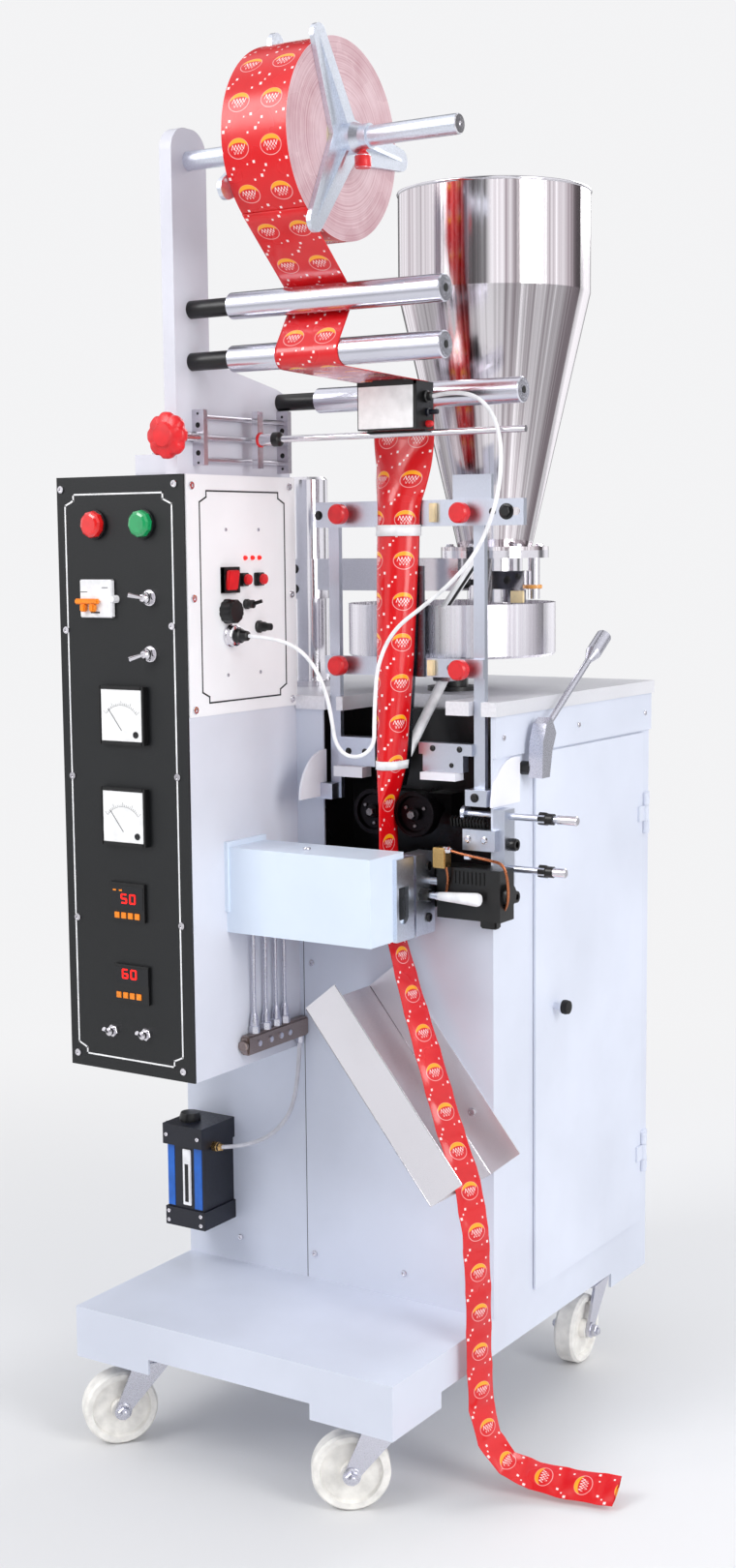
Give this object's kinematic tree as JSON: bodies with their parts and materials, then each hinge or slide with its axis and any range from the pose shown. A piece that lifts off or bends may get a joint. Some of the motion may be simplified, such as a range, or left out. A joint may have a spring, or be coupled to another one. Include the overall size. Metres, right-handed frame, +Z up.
{
  "type": "form fill seal machine",
  "caption": "Castered vertical pouch packing machine: steel cabinet, control box, film reel and guide rollers, mirror hopper, filler pan, film former, draw wheels, sealing jaws and chute.",
  "frame": {"origin": "on the floor, at the bottom centre of the bounding box", "axes": "+Z up, +X to the machine's right, +Y to its back"},
  "size_m": [0.7008, 0.7881, 1.8015],
  "materials": {
    "adjuster_steel": "machined steel",
    "bar_aluminium": "milled aluminium",
    "bay_black": "dark enamel with oil film",
    "black_steel": "blackened steel",
    "block_steel": "oiled steel blocks",
    "box_paint": "satin light grey paint",
    "cabinet_paint": "satin light blue-grey paint",
    "cable_black": "smooth black cable jacket",
    "caster_nylon": "white nylon",
    "cheek_white": "white paint",
    "chrome_rod": "bright ground rod",
    "chute_steel": "bright folded stainless steel",
    "cover_paint": "satin white paint",
    "display_black": "dark display window",
    "door_paint": "satin light blue-grey paint",
    "drive_black": "black enamel",
    "film_print": "glossy red printed film",
    "fork_zinc": "bright zinc plated steel",
    "former_steel": "dark polished stainless steel",
    "frame_aluminium": "milled aluminium bar",
    "gate_steel": "polished stainless steel",
    "hopper_mirror": "mirror polished stainless steel",
    "lamp_red": "clear coloured lamp lens",
    "lever_steel": "bright plated steel",
    "manifold_steel": "machined steel",
    "meter_case": "dark meter case behind a clear window",
    "oiler_navy": "dark moulded plastic",
    "pan_steel": "brushed stainless steel",
    "panel_black": "satin black plate",
    "panel_white": "satin white plate",
    "plug_black": "moulded black plug",
    "post_steel": "bright plated column",
    "pouch_print": "glossy red sealed pouches",
    "red_plastic": "moulded red plastic",
    "roller_aluminium": "polished aluminium",
    "sensor_white": "white face in a black frame",
    "spider_aluminium": "bright cast aluminium",
    "stand_paint": "light grey paint",
    "switch_black": "moulded switch body",
    "top_steel": "fine brushed stainless steel",
    "wheel_iron": "dark oiled iron"
  },
  "bodies": {
    "machine": {"adjuster_frame": "adjuster_steel", "adjuster_wheel": "red_plastic", "cheek_plates": "cheek_white", "chute": "chute_steel", "control_box": "box_paint", "control_panel": "panel_black", "film_web": "film_print", "former_frame": "frame_aluminium", "former_knobs": "red_plastic", "former_tube": "former_steel", "front_wall": "cabinet_paint", "hopper": "hopper_mirror", "hopper_gate": "gate_steel", "hopper_post": "post_steel", "jaw_cover": "cover_paint", "jaw_drive": "drive_black", "lever_boss": "black_steel", "lube_manifold": "manifold_steel", "mechanism_bay": "bay_black", "oiler": "oiler_navy", "pan_bearing": "black_steel", "panel_displays": "display_black", "panel_lamps": "lamp_red", "panel_meters": "meter_case", "panel_switches": "switch_black", "photo_controls": "red_plastic", "photo_panel": "panel_white", "platform": "cabinet_paint", "pouch_strip": "pouch_print", "rear_walls": "cabinet_paint", "reel_stand": "stand_paint", "right_wall": "cabinet_paint", "roller_spindles": "black_steel", "seal_jaw_fixed": "block_steel", "sensor_box": "sensor_white", "sensor_cable": "cable_black", "sensor_carriage": "chrome_rod", "sensor_plug": "plug_black", "side_bar": "bar_aluminium", "top_plate": "top_steel"},
    "fork_front_left": {"caster_fork_front_left": "fork_zinc"},
    "wheel_front_left": {"caster_wheel_front_left": "caster_nylon"},
    "fork_front_right": {"caster_fork_front_right": "fork_zinc"},
    "wheel_front_right": {"caster_wheel_front_right": "caster_nylon"},
    "fork_back_left": {"caster_fork_back_left": "fork_zinc"},
    "wheel_back_left": {"caster_wheel_back_left": "caster_nylon"},
    "fork_back_right": {"caster_fork_back_right": "fork_zinc"},
    "wheel_back_right": {"caster_wheel_back_right": "caster_nylon"},
    "door": {"door": "door_paint"},
    "lever": {"clutch_lever": "lever_steel"},
    "reel": {"reel_spider": "spider_aluminium", "film_roll": "film_print"},
    "roller_upper": {"guide_roller_upper": "roller_aluminium"},
    "roller_lower": {"guide_roller_lower": "roller_aluminium"},
    "roller_rear": {"guide_roller_rear": "roller_aluminium"},
    "draw_left": {"draw_wheel_left": "wheel_iron"},
    "draw_right": {"draw_wheel_right": "wheel_iron"},
    "pan": {"filler_pan": "pan_steel"},
    "jaw": {"seal_jaw": "block_steel"}
  },
  "joints": [
    {"name": "swivel_front_left", "type": "hinge", "parent": "machine", "child": "fork_front_left", "pos_m": [-0.2814, -0.2534, 0.108], "axis": [0, 0, 1], "continuous": true},
    {"name": "roll_front_left", "type": "hinge", "parent": "fork_front_left", "child": "wheel_front_left", "pos_m": [-0.30583, -0.28251, 0.05], "axis": [0.766, -0.6428, 0], "continuous": true},
    {"name": "swivel_front_right", "type": "hinge", "parent": "machine", "child": "fork_front_right", "pos_m": [0.0946, -0.2534, 0.108], "axis": [0, 0, 1], "continuous": true},
    {"name": "roll_front_right", "type": "hinge", "parent": "fork_front_right", "child": "wheel_front_right", "pos_m": [0.06386, -0.27574, 0.05], "axis": [0.5878, -0.809, 0], "continuous": true},
    {"name": "swivel_back_left", "type": "hinge", "parent": "machine", "child": "fork_back_left", "pos_m": [-0.2814, 0.3196, 0.108], "axis": [0, 0, 1], "continuous": true},
    {"name": "roll_back_left", "type": "hinge", "parent": "fork_back_left", "child": "wheel_back_left", "pos_m": [-0.2944, 0.28389, 0.05], "axis": [0.9397, -0.342, 0], "continuous": true},
    {"name": "swivel_back_right", "type": "hinge", "parent": "machine", "child": "fork_back_right", "pos_m": [0.0946, 0.3196, 0.108], "axis": [0, 0, 1], "continuous": true},
    {"name": "roll_back_right", "type": "hinge", "parent": "fork_back_right", "child": "wheel_back_right", "pos_m": [0.09659, 0.28165, 0.05], "axis": [0.9986, 0.0523, 0], "continuous": true},
    {"name": "door_hinge", "type": "hinge", "parent": "machine", "child": "door", "pos_m": [0.1626, 0.3676, 0.6], "axis": [0, 0, 1], "range_deg": [0, 110]},
    {"name": "lever_turn", "type": "hinge", "parent": "machine", "child": "lever", "pos_m": [0.1706, 0.0046, 0.914], "axis": [1, 0, 0], "range_deg": [-8, 25]},
    {"name": "reel_spin", "type": "hinge", "parent": "machine", "child": "reel", "pos_m": [-0.0934, -0.2784, 1.6695], "axis": [1, 0, 0], "continuous": true},
    {"name": "spin_upper", "type": "hinge", "parent": "machine", "child": "roller_upper", "pos_m": [-0.0934, -0.2784, 1.492], "axis": [1, 0, 0], "continuous": true},
    {"name": "spin_lower", "type": "hinge", "parent": "machine", "child": "roller_lower", "pos_m": [-0.0934, -0.2784, 1.429], "axis": [1, 0, 0], "continuous": true},
    {"name": "spin_rear", "type": "hinge", "parent": "machine", "child": "roller_rear", "pos_m": [-0.0934, -0.0934, 1.389], "axis": [1, 0, 0], "continuous": true},
    {"name": "draw_left_spin", "type": "hinge", "parent": "machine", "child": "draw_left", "pos_m": [-0.0096, -0.0974, 0.858], "axis": [0, 1, 0], "continuous": true},
    {"name": "draw_right_spin", "type": "hinge", "parent": "machine", "child": "draw_right", "pos_m": [0.0528, -0.0974, 0.858], "axis": [0, 1, 0], "continuous": true},
    {"name": "pan_spin", "type": "hinge", "parent": "machine", "child": "pan", "pos_m": [-0.0024, 0.0966, 1.053], "axis": [0, 0, 1], "continuous": true},
    {"name": "jaw_slide", "type": "slide", "parent": "machine", "child": "jaw", "axis": [1, 0, 0], "range_m": [0, 0.008]}
  ],
  "couplings": [
    {"joint": "draw_right_spin", "follows": "draw_left_spin", "ratio": -1}
  ]
}
